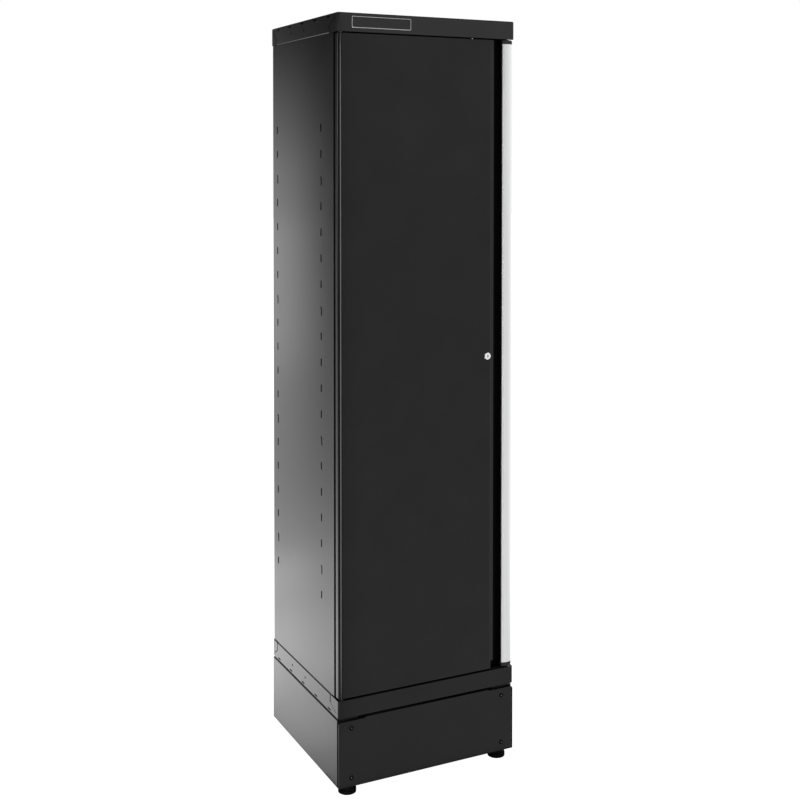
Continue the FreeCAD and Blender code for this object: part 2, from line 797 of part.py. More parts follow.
grip = new_body("handle_grip")
grip_inner = "handle_right - grip_sheet"
grip_inside = "grip_edge + grip_sheet"
profile = new_sketch(grip, "XY_Plane", "door_low + cap_height")
outline(profile, [
    ("grip_left", "grip_edge"), ("handle_right", "grip_edge"), ("handle_right", "recess_floor"),
    (grip_inner, "recess_floor"), (grip_inner, grip_inside), ("grip_left + grip_sheet", grip_inside),
    ("grip_left + grip_sheet", "grip_edge + grip_hook"), ("grip_left", "grip_edge + grip_hook")],
    crowns={0: "grip_crown", 4: "-grip_crown"})
pad(grip, profile, "door_high - door_low - 2 * cap_height")


def build_cap(name, end, inward, lip):
    """A moulded cap that closes one end of the grip and of the wall behind it."""
    body = new_body(name)
    low = end if inward == "+" else f"{end} {inward} cap_height"
    profile = new_sketch(body, "XY_Plane", low)
    outline(profile, lip + [
        ("grip_left", "recess_floor"), ("grip_left", "grip_edge"), ("handle_right", "grip_edge"),
        ("handle_right", "channel_back"), ("door_right", "channel_back")],
        crowns={len(lip) + 1: "grip_crown"})
    pad(body, profile, "cap_height")
    round_edges(body, at_corner([("handle_right", end)], 1), "cap_round")
    return body


build_cap("handle_top_cap", "door_high", "-",
          [("door_right", "lip_front"), ("lip_end", "recess_front"), ("lip_end", "recess_floor")])
lower_cap = build_cap("handle_bottom_cap", "door_low", "+", [("door_right", "recess_floor")])
cap_plug = new_sketch(lower_cap, "XY_Plane", "door_low + cap_height")
rectangle(cap_plug, "door_right", "recess_floor", "handle_right", "channel_back")
pad(lower_cap, cap_plug, "cap_plug")


# Lock

housing = new_body("lock_housing")
rod(housing, "lock_x", "lock_height", "lock_face_radius", "front", "door_front")
bevel_edges(housing, in_plane(1, "front"), "face_chamfer")
rod(housing, "lock_x", "lock_height", "lock_barrel_radius", "door_front", "barrel_end")
bore(housing, "lock_x", "lock_height", "lock_plug_radius + lock_fit",
     f"front - {MARGIN}", f"barrel_end + {MARGIN}")

nut = new_body("lock_nut")
face = across_sketch(nut, "door_inside + lock_nut_height")
hexagon(face, "lock_x", "lock_height", "lock_nut_across")
circle(face, "lock_x", "lock_height", "lock_barrel_radius + hole_clearance")
pad(nut, face, "lock_nut_height")

plug = new_body("lock_plug")
rod(plug, "lock_x", "lock_height", "lock_plug_radius", "front + lock_fit", "cam_front")
tail = across_sketch(plug, "cam_back")
rectangle(tail, "lock_x - cam_square / 2", "lock_height - cam_square / 2",
          "lock_x + cam_square / 2", "lock_height + cam_square / 2")
pad(plug, tail, "cam_sheet")
key_slot = across_sketch(plug, f"front - {MARGIN}")
rectangle(key_slot, "lock_x - key_slot_width / 2", "lock_height - key_slot_length / 2",
          "lock_x + key_slot_width / 2", "lock_height + key_slot_length / 2")
cut(plug, key_slot, f"key_slot_depth + {MARGIN}")

cam = new_body("lock_cam")
blade = across_sketch(cam, "cam_back")
rectangle(blade, "lock_x - cam_width / 2", "lock_height - cam_tail", "lock_x + cam_width / 2",
          "lock_height + cam_reach")
hole = "cam_square / 2 + lock_fit"
rectangle(blade, f"lock_x - ({hole})", f"lock_height - ({hole})", f"lock_x + {hole}", f"lock_height + {hole}")
pad(cam, blade, "cam_sheet")
cam_corners = [(f"lock_x {sign} cam_width / 2", level) for sign in ("-", "+")
               for level in ("lock_height - cam_tail", "lock_height + cam_reach")]
round_edges(cam, at_corner(cam_corners, 1), "cam_width / 3")

cam_screw = new_body("cam_screw")
rod(cam_screw, "lock_x", "lock_height", "cam_screw_radius", "cam_back", "cam_back + cam_screw_height")


# Buffers that the closed door rests against

buffers = new_body("door_buffers")
rod(buffers, "right - buffer_inset", "door_low + buffer_end_distance", "buffer_radius",
    "frame_front - buffer_height", "frame_front")
repeat(buffers, None, "Z_Axis", "door_high - door_low - 2 * buffer_end_distance", "2", whole=True)


# Plinth

def build_plinth_side(name, wall, inward):
    """A folded side of the plinth, flanged inward all round."""
    body = new_body(name)
    open_side = f"{wall} {inward} plinth_flange"
    low, high = (wall, open_side) if inward == "+" else (open_side, wall)
    upright_block(body, low, "plinth_front", high, "rear", "foot_clearance", "plinth_top")
    round_edges(body, in_plane(0, wall), "plinth_bend + plinth_sheet")
    hollow(body, "plinth_sheet", 0, open_side)

    # a raised seat carries the bottom tray and leaves a shadow gap along the outside
    seat = new_sketch(body, "XY_Plane", "plinth_top")
    rectangle(seat, f"{wall} {inward} plinth_seat_inset", "plinth_front", open_side, "rear - plinth_seat_inset")
    pad(body, seat, "plinth_gap")
    upright_holes(body, [(f"{wall} {inward} front_foot_inset", "foot_front"),
                         (f"{wall} {inward} rear_foot_inset", "foot_rear")], "stud_radius + hole_clearance",
                  f"foot_clearance - {MARGIN}", f"foot_seat + {MARGIN}")
    return body


build_plinth_side("plinth_left_side", "left", "+")
build_plinth_side("plinth_right_side", "right", "-")

plinth_rear = new_body("plinth_rear_member")
upright_block(plinth_rear, "left + plinth_flange", "rear - plinth_rear_depth",
              "right - plinth_flange", "rear", "foot_clearance", "base_top")
round_edges(plinth_rear, at_corner([("rear", "foot_clearance"), ("rear", "base_top")], 0),
            "plinth_bend + plinth_sheet")
hollow(plinth_rear, "plinth_sheet", 1, "rear - plinth_rear_depth")

plate = new_body("plinth_front_plate")
face = across_sketch(plate, "plate_back")
outline(face, [
    ("plate_left", "plate_low"), ("plate_right", "plate_low"), ("plate_right", "plate_shoulder"),
    ("plate_right - plate_notch_length", "plate_shoulder"),
    ("plate_right - plate_notch_length", "plate_high"),
    ("plate_left + plate_notch_length", "plate_high"),
    ("plate_left + plate_notch_length", "plate_shoulder"),
    ("plate_left", "plate_shoulder")])
pad(plate, face, "plinth_sheet")

# the plate's top and bottom edges turn back between the plinth's sides
for flange_low in ("plate_low", "plate_high - plinth_sheet"):
    flange = new_sketch(plate, "XY_Plane", flange_low)
    rectangle(flange, "plate_left + plate_notch_length", "front + plinth_sheet / 2",
              "plate_right - plate_notch_length", "front + plate_flange")
    pad(plate, flange, "plinth_sheet")
# two tabs close the notches behind their lower edge and reach under the top flange
for tab_start, tab_end in (
        ("left + plinth_flange + plate_side_gap", "plate_left + plate_notch_length + tab_lap"),
        ("plate_right - plate_notch_length - tab_lap", "right - plinth_flange - plate_side_gap")):
    tab = new_sketch(plate, "XY_Plane", "plate_shoulder - plinth_sheet")
    rectangle(tab, tab_start, "front + plinth_sheet / 2", tab_end, "front + plate_flange")
    pad(plate, tab, "plinth_sheet")
round_edges(plate, at_corner([("plate_left", "plate_shoulder"), ("plate_right", "plate_shoulder")], 1),
            "plate_corner_radius")


# Levelling feet and the weld nuts that they screw into

foot_nuts = new_body("foot_weld_nuts")
for nut_x, nut_y in (("-front_foot_x", "foot_front"), ("-rear_foot_x", "foot_rear")):
    ring = new_sketch(foot_nuts, "XY_Plane", "foot_seat")
    hexagon(ring, nut_x, nut_y, "foot_nut_across")
    circle(ring, nut_x, nut_y, "stud_radius + stud_fit")
    pad(foot_nuts, ring, "foot_nut_height")
mirror(foot_nuts, "YZ_Plane")


def build_foot(corner, x, y):
    """One foot: a moulded pad and the threaded stud that stands in it."""
    pad_body = new_body(f"{corner}_foot_pad")
    half = new_sketch(pad_body, "XZ_Plane")
    outline(half, [
        ("0", "0"), ("foot_radius", "0"), ("foot_radius", "foot_rim_height"),
        ("foot_waist_radius", "foot_rim_height"), ("foot_waist_radius", "foot_top"),
        ("stud_radius + stud_fit", "foot_top"),
        ("stud_radius + stud_fit", "foot_top - stud_seat"), ("0", "foot_top - stud_seat")])
    turned = pad_body.newObject("PartDesign::Revolution", pad_body.Name + "_turned")
    turned.Profile = half
    turned.ReferenceAxis = (half, ["V_Axis"])
    stud = new_body(f"{corner}_foot_stud")
    post(stud, "0", "0", "stud_radius", "foot_top - stud_seat", "foot_top - stud_seat + stud_length")
    for body in (pad_body, stud):
        drive(body, "Placement.Base.x", x)
        drive(body, "Placement.Base.y", y)


for front_or_rear in ("front", "rear"):
    for hand, sign in (("left", "-"), ("right", "")):
        build_foot(f"{front_or_rear}_{hand}", f"{sign}{front_or_rear}_foot_x", f"foot_{front_or_rear}")


# Check and write

doc.recompute()
for thing in doc.Objects:
    if "Invalid" in thing.State or "Error" in thing.State:
        raise RuntimeError(f"{thing.Label} failed: {thing.State}")
for piece in pieces:
    if piece.Shape.isNull() or not piece.Shape.isValid():
        raise RuntimeError(piece.Label + " has no valid shape")

os.makedirs("parts", exist_ok=True)
for piece in pieces:
    piece.Shape.exportStep(f"parts/{piece.Label}.step")
    print(f"{piece.Label}: {len(piece.Shape.Solids)} solids, {piece.Shape.Volume / 1000:.1f} cm3")
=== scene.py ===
# %% [markdown]
# # A tall workshop cabinet in black sheet steel
# The folded sheets, the door, the grip, the lock and the feet come from the CAD model, which is the
# fixed frame of this lesson. The lesson adds what CAD leaves out: the light, the finishes, and the
# small pieces such as screw heads, screw threads and a blank plate. Nothing here moves or reshapes
# a CAD piece.

# %% Load the frame
import json
import math

import bmesh
import bpy
from mathutils import Matrix, Vector


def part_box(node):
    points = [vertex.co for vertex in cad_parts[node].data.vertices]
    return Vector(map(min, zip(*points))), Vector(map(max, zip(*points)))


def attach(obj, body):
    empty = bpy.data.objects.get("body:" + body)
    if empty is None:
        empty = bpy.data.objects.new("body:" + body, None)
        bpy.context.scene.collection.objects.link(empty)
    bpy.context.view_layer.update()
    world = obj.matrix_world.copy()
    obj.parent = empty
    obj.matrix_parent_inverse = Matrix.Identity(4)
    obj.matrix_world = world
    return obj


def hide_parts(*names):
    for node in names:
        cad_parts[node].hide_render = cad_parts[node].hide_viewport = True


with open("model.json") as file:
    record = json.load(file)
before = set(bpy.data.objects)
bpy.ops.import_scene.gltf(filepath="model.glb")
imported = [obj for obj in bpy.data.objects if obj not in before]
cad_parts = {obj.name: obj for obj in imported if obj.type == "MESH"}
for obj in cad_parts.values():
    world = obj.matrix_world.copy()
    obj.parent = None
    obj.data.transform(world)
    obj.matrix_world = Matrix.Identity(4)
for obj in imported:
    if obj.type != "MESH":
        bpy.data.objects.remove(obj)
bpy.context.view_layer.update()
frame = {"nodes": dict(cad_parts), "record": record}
nodes = frame["nodes"]
MM = 0.001

# %% [markdown]
# ## The camera
# The cabinet was photographed from the front left, from about eye height, with a short telephoto
# lens. The upright edges stay parallel in the picture, which is what a shift lens does: the camera
# looks almost level and the picture is taken from the lower part of the lens's image circle.
# Tilting the camera down would make the uprights converge, so the shift is used instead.

# %% Place the camera
CAMERA_PLACE = (-1.5099, -3.1114, 1.6252)
LOOK_DOWN = 1.536  # degrees
TURN_RIGHT = 26.288  # degrees
lens = bpy.data.cameras.new("shift_lens")
lens.sensor_width = 36
lens.lens = 56.023
lens.shift_x = 0.00214
lens.shift_y = -0.25693
camera = bpy.data.objects.new("camera", lens)
camera.location = CAMERA_PLACE
camera.rotation_euler = (math.radians(90 - LOOK_DOWN), 0, math.radians(-TURN_RIGHT))
bpy.context.scene.collection.objects.link(camera)
bpy.context.scene.camera = camera
print("camera at", tuple(round(v, 3) for v in camera.location))

# %% [markdown]
# ## Node helpers
# Every finish below is a small tree of nodes. It could be drawn by hand in the node editor, but a
# written tree can be used again with other numbers. A few helpers keep the trees short: they add a
# node and fill in its sockets, join two sockets, do a sum, and start a material with its surface
# shader.

# %% Helpers for node trees
def add_node(tree, kind, **inputs):
    """A new node; inputs are socket names with spaces written as underscores."""
    node = tree.nodes.new(kind)
    for name, content in inputs.items():
        node.inputs[name.replace("_", " ")].default_value = content
    return node


def link(tree, start, finish):
    """Join one node's output to another's input."""
    tree.links.new(start, finish)


def combine(tree, operation, first, second):
    """A maths node; each of first and second is a number or another node's output."""
    node = tree.nodes.new("ShaderNodeMath")
    node.operation = operation
    for number, content in enumerate((first, second)):
        if isinstance(content, (int, float)):
            node.inputs[number].default_value = content
        else:
            link(tree, content, node.inputs[number])
    return node.outputs[0]


def start_finish(name):
    """A new material with its tree and its surface shader."""
    material = bpy.data.materials.new(name)
    material.use_nodes = True
    return material, material.node_tree, material.node_tree.nodes["Principled BSDF"]


def grey(level):
    """A colour with the same amount of red, green and blue."""
    return (level, level, level, 1)


print("node helpers ready")

# %% [markdown]
# ## The studio
# A black semi-gloss cabinet is lit by what it mirrors, so the studio is built as a set of things to
# mirror. The room is a white sweep, brighter towards the right, and the camera sees only its white
# floor and wall. Both glow at full white for the camera and less in the paint, where a full white
# would drown the black. The floor is dark under the plinth, where no light gets in. A wide lamp
# overhead lights what mirrors nothing bright.

# %% Floor
FLOOR_SIZE = 60
FLOOR_DROP = 0.5 * MM
FLOOR_GLOW = 1.0
MIRRORED_FLOOR_GLOW = 0.62
# how far from the middle, in metres, the plinth's shade ends and the open floor begins
SHADE_EDGES = (("X", 0.215, 0.235), ("Y", 0.175, 0.195))


def camera_or_mirror(tree, for_camera, for_mirror):
    """One number for the camera's own view and another for every mirrored or scattered ray."""
    ray = tree.nodes.new("ShaderNodeLightPath").outputs["Is Camera Ray"]
    return combine(tree, "ADD", combine(tree, "MULTIPLY", ray, for_camera - for_mirror), for_mirror)


bpy.ops.mesh.primitive_plane_add(size=FLOOR_SIZE, location=(0, 0, -FLOOR_DROP))
floor = bpy.context.object
floor.name = "studio_floor"
floor_finish, floor_tree, floor_shader = start_finish("pale_floor")
floor_shader.inputs["Base Color"].default_value = grey(0.25)
floor_shader.inputs["Roughness"].default_value = 0.9
floor_shader.inputs["Specular IOR Level"].default_value = 0
floor_shader.inputs["Emission Color"].default_value = grey(1)
floor_place = floor_tree.nodes.new("ShaderNodeTexCoord")
floor_split = floor_tree.nodes.new("ShaderNodeSeparateXYZ")
link(floor_tree, floor_place.outputs["Object"], floor_split.inputs[0])
open_floor = 0.0
for axis, shade_ends, light_starts in SHADE_EDGES:
    fade = add_node(floor_tree, "ShaderNodeMapRange", From_Min=shade_ends, From_Max=light_starts)
    from_middle = combine(floor_tree, "ABSOLUTE", floor_split.outputs[axis], 0.0)
    link(floor_tree, from_middle, fade.inputs["Value"])
    open_floor = combine(floor_tree, "MAXIMUM", open_floor, fade.outputs["Result"])
floor_glow = camera_or_mirror(floor_tree, FLOOR_GLOW, MIRRORED_FLOOR_GLOW)
floor_glow = combine(floor_tree, "MULTIPLY", floor_glow, open_floor)
link(floor_tree, floor_glow, floor_shader.inputs["Emission Strength"])
floor.data.materials.append(floor_finish)
print("floor laid")

# %% Room light
ROOM_GLOW = 0.74
MORE_TO_RIGHT = 0.36
LEFT_LIMIT = -0.05
room = bpy.data.worlds.new("white_room")
bpy.context.scene.world = room
room.use_nodes = True
tree = room.node_tree
wall = tree.nodes["Background"]
wall.inputs["Color"].default_value = grey(1)
way = tree.nodes.new("ShaderNodeTexCoord")
split = tree.nodes.new("ShaderNodeSeparateXYZ")
link(tree, way.outputs["Generated"], split.inputs[0])
rightwards = combine(tree, "MAXIMUM", split.outputs["X"], LEFT_LIMIT)
to_right = combine(tree, "ADD", combine(tree, "MULTIPLY", rightwards, MORE_TO_RIGHT), ROOM_GLOW)
camera_ray = tree.nodes.new("ShaderNodeLightPath").outputs["Is Camera Ray"]
link(tree, combine(tree, "MAXIMUM", to_right, camera_ray), wall.inputs["Strength"])
bpy.context.scene.view_settings.view_transform = "Standard"
print("room light set")

# %% Overhead lamp
overhead = bpy.data.lights.new("overhead_softbox", "AREA")
overhead.shape = "RECTANGLE"
overhead.size = overhead.size_y = 3.0
overhead.energy = 50
lamp = bpy.data.objects.new("overhead_softbox", overhead)
lamp.location = (0.3, -0.6, 4.2)
bpy.context.scene.collection.objects.link(lamp)
print("overhead lamp hung")

# %% [markdown]
# ## Boards to mirror
# Glowing boards stand where the left side, the grip and the door's rounded edge mirror them, and
# give the left side its long fade. Black boards, which photographers call flags, stand where an
# edge or a gap has to stay dark. All of them are hidden from the camera and throw no light of their
# own, as a photographer keeps reflectors out of the frame. Each board is one plain face, and curves
# across it and up it say how much it glows at each place.

# %% Helpers for boards
BOARD_GLOW = 4.0
EVEN = [(0.0, 1.0), (1.0, 1.0)]
NONE = [(0.0, 0.0), (1.0, 0.0)]


def ramp(tree, position, stops):
    """A smooth curve through stops of (position, level); the two ends come first."""
    node = tree.nodes.new("ShaderNodeFloatCurve")
    curve = node.mapping.curves[0]
    for number, (place, level) in enumerate(stops):
        if number < 2:
            curve.points[number].location = (place, level)
        else:
            curve.points.new(place, level)
    node.mapping.update()
    link(tree, position, node.inputs["Value"])
    return node.outputs[0]


def standing(start, finish, low, high):
    """The corners of an upright board between two places on the floor."""
    return [(*start, low), (*finish, low), (*finish, high), (*start, high)]


def lying(near, far, level=0.5 * MM):
    """The corners of a flat board between opposite places, just clear of the floor or at a level."""
    (left, front), (right, back) = near, far
    return [(left, front, level), (right, front, level), (right, back, level), (left, back, level)]


def board(name, corners, across, up, base=None, glow_most=BOARD_GLOW):
    """A board that only mirrors show; it glows by a ramp across times a ramp up, plus base, a ramp up."""
    mesh = bpy.data.meshes.new(name)
    mesh.from_pydata(corners, [], [(0, 1, 2, 3)])
    uv = mesh.uv_layers.new(name="board")
    for loop, place in zip(uv.data, ((0, 0), (1, 0), (1, 1), (0, 1))):
        loop.uv = place
    thing = bpy.data.objects.new(name, mesh)
    bpy.context.scene.collection.objects.link(thing)
    material = bpy.data.materials.new(name)
    material.use_nodes = True
    tree = material.node_tree
    tree.nodes.clear()
    where = tree.nodes.new("ShaderNodeUVMap")
    where.uv_map = "board"
    split = tree.nodes.new("ShaderNodeSeparateXYZ")
    link(tree, where.outputs[0], split.inputs[0])
    side, rise = split.outputs["X"], split.outputs["Y"]
    glow = combine(tree, "MULTIPLY", ramp(tree, side, across), ramp(tree, rise, up))
    if base:
        glow = combine(tree, "ADD", glow, ramp(tree, rise, base))
    emission = tree.nodes.new("ShaderNodeEmission")
    link(tree, combine(tree, "MULTIPLY", glow, glow_most), emission.inputs["Strength"])
    output = tree.nodes.new("ShaderNodeOutputMaterial")
    link(tree, emission.outputs[0], output.inputs["Surface"])
    mesh.materials.append(material)
    thing.visible_camera = False
    thing.visible_diffuse = False
    thing.visible_shadow = False


print("board helpers ready")

# %% Glowing boards
board("left_board", standing((-1.3, 0.65), (-0.30, 0.65), 0.0, 2.6),
      across=[(0.0, 0.0), (1.0, 1.0), (0.6, 0.0), (0.676, 0.0), (0.703, 0.12), (0.73, 0.38), (0.755, 0.51),
              (0.78, 0.62), (0.867, 0.98)],
      up=[(0.0, 0.2), (1.0, 0.03), (0.08, 0.26), (0.11, 0.33), (0.148, 0.2), (0.176, 0.17), (0.242, 0.2),
          (0.335, 0.3), (0.427, 0.52), (0.519, 0.58), (0.567, 0.47), (0.613, 0.39), (0.66, 0.27),
          (0.708, 0.165), (0.76, 0.07), (0.8, 0.03)],
      base=[(0.0, 0.62), (1.0, 0.01), (0.03, 0.61), (0.06, 0.54), (0.08, 0.48), (0.11, 0.43), (0.148, 0.35),
            (0.176, 0.31), (0.242, 0.215), (0.335, 0.14), (0.427, 0.06), (0.519, 0.0), (0.6, 0.0),
            (0.7, 0.008), (0.8, 0.01)])
board("floor_card", lying((-1.3, -0.5), (-0.26, 0.65)),
      across=[(0.0, 0.7), (1.0, 0.5), (0.73, 0.73), (0.81, 0.76), (0.86, 0.8), (0.923, 0.77), (0.971, 0.69)],
      up=[(0.0, 0.12), (1.0, 1.0), (0.325, 0.39), (0.43, 0.47), (0.5, 0.575), (0.61, 0.68), (0.75, 0.775),
          (0.85, 0.88)])
board("right_board", standing((1.2, -1.0), (1.2, 0.6), 0.0, 2.3),
      across=[(0.0, 0.25), (1.0, 0.36), (0.5, 0.31)], up=EVEN)
board("edge_strip", standing((-0.67, -0.85), (-0.31, -0.85), 0.0, 1.99),
      across=EVEN, up=EVEN, glow_most=9.0)
board("edge_board", standing((-1.25, 0.3), (-0.85, 0.3), 1.2, 2.03),
      across=EVEN, up=[(0.0, 0.0), (1.0, 0.845), (0.578, 0.7)], glow_most=6.0)
print("glowing boards placed")

# %% Black flags
flags = {
    "strip_hood": standing((-0.69, -0.84), (-0.08, -0.84), 2.0, 2.8),
    "floor_flag": lying((-0.8, -0.95), (-0.28, -0.25)),
    "kerb_flag": lying((-0.28, -0.275), (0.27, -0.1)),
    "back_flag": standing((-0.7, 0.64), (0.5, 0.64), 2.13, 2.7),
    "ceiling_flag": lying((-0.1, -1.3), (1.5, 1.3), level=3.2),
    "corner_flag": standing((-1.45, 0.05), (-0.69, -0.84), 0.0, 2.3),
    "seam_flag": standing((-0.285, -0.6), (-0.1, -0.6), 0.0, 2.02),
}
for name, corners in flags.items():
    board(name, corners, across=NONE, up=NONE)
print("black flags placed:", len(flags))

# %% [markdown]
# ## What all finishes share
# Real surfaces are never even. In each finish below a pattern varies the colour and the gloss a little, and
# a relief gives the grain, peel or scratches as bump. The patterns are in the piece's own coordinates, so
# they stay on the piece when it moves. A finish can also have painted shade: its colour darkens with depth,
# standing for the shade inside a recess.

# %% Helpers for finishes
def painted_recess_shade(tree, place, colour, begins, ends, shade):
    """A painted shade: a colour that falls to a share of itself between two depths behind the front,
    standing for the shade in a deep recess.
    """
    split = tree.nodes.new("ShaderNodeSeparateXYZ")
    depth = add_node(tree, "ShaderNodeMapRange", From_Min=begins, From_Max=ends, To_Min=1.0, To_Max=shade)
    darken = tree.nodes.new("ShaderNodeVectorMath")
    darken.operation = "SCALE"
    link(tree, place.outputs["Object"], split.inputs[0])
    link(tree, split.outputs["Y"], depth.inputs["Value"])
    link(tree, colour, darken.inputs[0])
    link(tree, depth.outputs["Result"], darken.inputs["Scale"])
    return darken.outputs["Vector"]


def dress_skin(tree, skin, place, pattern, relief, tones, gloss, bump, painted_shade_depths=None):
    """Join a pattern and a relief to a surface shader.

    tones are two of (pattern level, colour), gloss is the least and most roughness, bump is its strength and
    depth, and the last, optional argument gives a recess's first and full depth and the share of colour left
    there, as painted shade.
    """
    tint = add_node(tree, "ShaderNodeValToRGB")
    for stop, (level, tone) in zip(tint.color_ramp.elements, tones):
        stop.position = level
        stop.color = tone
    rough = add_node(tree, "ShaderNodeMapRange", To_Min=gloss[0], To_Max=gloss[1])
    raised = add_node(tree, "ShaderNodeBump", Strength=bump[0], Distance=bump[1])
    link(tree, pattern, tint.inputs["Fac"])
    link(tree, pattern, rough.inputs["Value"])
    link(tree, relief, raised.inputs["Height"])
    colour = tint.outputs["Color"]
    if painted_shade_depths:
        colour = painted_recess_shade(tree, place, colour, *painted_shade_depths)
    link(tree, colour, skin.inputs["Base Color"])
    link(tree, rough.outputs["Result"], skin.inputs["Roughness"])
    link(tree, raised.outputs["Normal"], skin.inputs["Normal"])


print("finish helpers ready")

# %% [markdown]
# ## Black powder coat
# The sheets are sprayed with dry black powder that melts in an oven. It dries to a semi-gloss skin
# with a faint orange peel, about two millimetres from crest to crest, and a gloss that varies a
# little. A noise texture gives the peel as bump, and a broader one varies the colour and the gloss.
# The top tray gets a copy that mirrors more strongly, a painted sheen that makes its front look lighter than
# the door, and the front uprights that the door shuts against get a darker, duller copy, painted shade for
# the shadow in the gap beside the door, so the recipe takes its tone, gloss and shine as numbers.

# %% Make the powder coat
def sprayed(name, tone, rough, shine):
    """A black powder coat; tone is its middle grey and shine is how strongly it mirrors."""
    material, tree, skin = start_finish(name)
    place = add_node(tree, "ShaderNodeTexCoord")
    clouds = add_node(tree, "ShaderNodeTexNoise", Scale=9.0, Detail=4.0)
    peel = add_node(tree, "ShaderNodeTexNoise", Scale=480.0, Detail=2.0)
    for texture in (clouds, peel):
        link(tree, place.outputs["Object"], texture.inputs["Vector"])
    dress_skin(tree, skin, place, clouds.outputs["Fac"], peel.outputs["Fac"],
               tones=((0.3, (0.83 * tone, 0.83 * tone, 0.85 * tone, 1)),
                      (0.7, (1.17 * tone, 1.17 * tone, 1.20 * tone, 1))),
               gloss=(rough - 0.03, rough + 0.03), bump=(0.06, 0.4 * MM))
    skin.inputs["Specular IOR Level"].default_value = shine
    return material


powder_coat = sprayed("black_powder_coat", tone=0.0075, rough=0.23, shine=0.22)
# painted sheen: the top tray's coat mirrors more strongly, so its front looks lighter than the door
top_tray_sheen_coat = sprayed("painted_sheen_powder_coat", tone=0.0075, rough=0.23, shine=0.36)
# painted shade: a darker, duller copy of the coat on the front uprights, for the shadow in the gap beside
# the door
painted_gap_shade_coat = sprayed("painted_gap_shade_powder_coat", tone=0.003, rough=0.6, shine=0.03)
print("powder coats ready")

# %% [markdown]
# ## Satin aluminium
# The grip is an extruded aluminium strip, etched and anodised. The die leaves fine lines along its
# length, so the noise is stretched along Z: many streaks across, few along. They vary the colour,
# the gloss and the bump.

# %% Make the aluminium
satin_aluminium, tree, skin = start_finish("satin_aluminium")
place = add_node(tree, "ShaderNodeTexCoord")
stretch = add_node(tree, "ShaderNodeMapping", Scale=(900.0, 900.0, 3.0))
lines = add_node(tree, "ShaderNodeTexNoise", Scale=1.0, Detail=3.0)
link(tree, place.outputs["Object"], stretch.inputs["Vector"])
link(tree, stretch.outputs["Vector"], lines.inputs["Vector"])
dress_skin(tree, skin, place, lines.outputs["Fac"], lines.outputs["Fac"],
           tones=((0.0, (0.69, 0.695, 0.70, 1)), (1.0, (0.80, 0.802, 0.808, 1))),
           gloss=(0.30, 0.42), bump=(0.05, 0.2 * MM))
skin.inputs["Metallic"].default_value = 1
print("aluminium ready")

# %% [markdown]
# ## Moulded plastics and rubber
# The handle channel and its caps, the hinge bushes, the feet and the buffers are moulded. A spark-eroded
# mould leaves a fine even grain, so these finishes share one recipe and differ in tone, grain and gloss. The
# blacking on the screws has the same fine grain; it is darker and duller than the powder coat, partly its
# own black and partly painted shade for the shadow round each head. The handle's finish has painted shade in
# its deep channel: its colour darkens with depth behind the lip.

# %% Make the moulded finishes
def moulded(name, dark, light, grain, rough, shine, painted_shade_depths=None):
    """A grained moulding between two greys, with so many grains in a metre."""
    material, tree, skin = start_finish(name)
    place = add_node(tree, "ShaderNodeTexCoord")
    cells = add_node(tree, "ShaderNodeTexVoronoi", Scale=grain)
    clouds = add_node(tree, "ShaderNodeTexNoise", Scale=35.0, Detail=3.0)
    for texture in (cells, clouds):
        link(tree, place.outputs["Object"], texture.inputs["Vector"])
    dress_skin(tree, skin, place, clouds.outputs["Fac"], cells.outputs["Distance"],
               tones=((0.0, grey(dark)), (1.0, grey(light))),
               gloss=(rough - 0.05, rough + 0.07), bump=(0.12, 0.3 * MM), painted_shade_depths=painted_shade_depths)
    skin.inputs["Specular IOR Level"].default_value = shine
    return material


# Y in metres where the handle's lip ends and where the painted shade in its channel is full, and the
# colour's share there
channel_lip, channel_floor, channel_painted_shade = -0.2245, -0.2235, 0.07
# painted shade: the handle moulding's colour falls with depth into its channel
handle_moulding_painted_shade = moulded("handle_moulding_painted_shade", dark=0.026, light=0.034, grain=1600.0, rough=0.42, shine=0.06,
                          painted_shade_depths=(channel_lip, channel_floor, channel_painted_shade))
bush_nylon = moulded("bush_nylon", dark=0.012, light=0.018, grain=2200.0, rough=0.5, shine=0.4)
foot_moulding = moulded("foot_moulding", dark=0.0015, light=0.003, grain=1400.0, rough=0.5, shine=0.08)
buffer_rubber = moulded("buffer_rubber", dark=0.010, light=0.014, grain=2600.0, rough=0.7, shine=0.3)
# partly painted shade: the screws' own black, made darker and duller for the shadow round each head
screw_blacking_painted_shade = moulded("screw_blacking_painted_shade", dark=0.0012, light=0.002, grain=3000.0, rough=0.5, shine=0.05)
print("five moulded finishes ready")

# %% [markdown]
# ## Plated metals
# The lock is nickel plated and polished, while clips, pins, nuts and studs are zinc plated. Zinc has a
# mottled grey bloom and nickel has faint polishing scratches, so one recipe with a coarse mottle and fine
# scratches gives both, and a darker steel as well, for the slugs that give the plinth screws a painted
# highlight. The lock's plug has painted shade: its colour falls away with depth into the keyway.

# %% Make the plated finishes
NICKEL = ((0.88, 0.88, 0.87, 1), (0.97, 0.97, 0.96, 1))
ZINC = ((0.46, 0.47, 0.49, 1), (0.66, 0.67, 0.68, 1))
STEEL = ((0.14, 0.14, 0.15, 1), (0.26, 0.26, 0.27, 1))


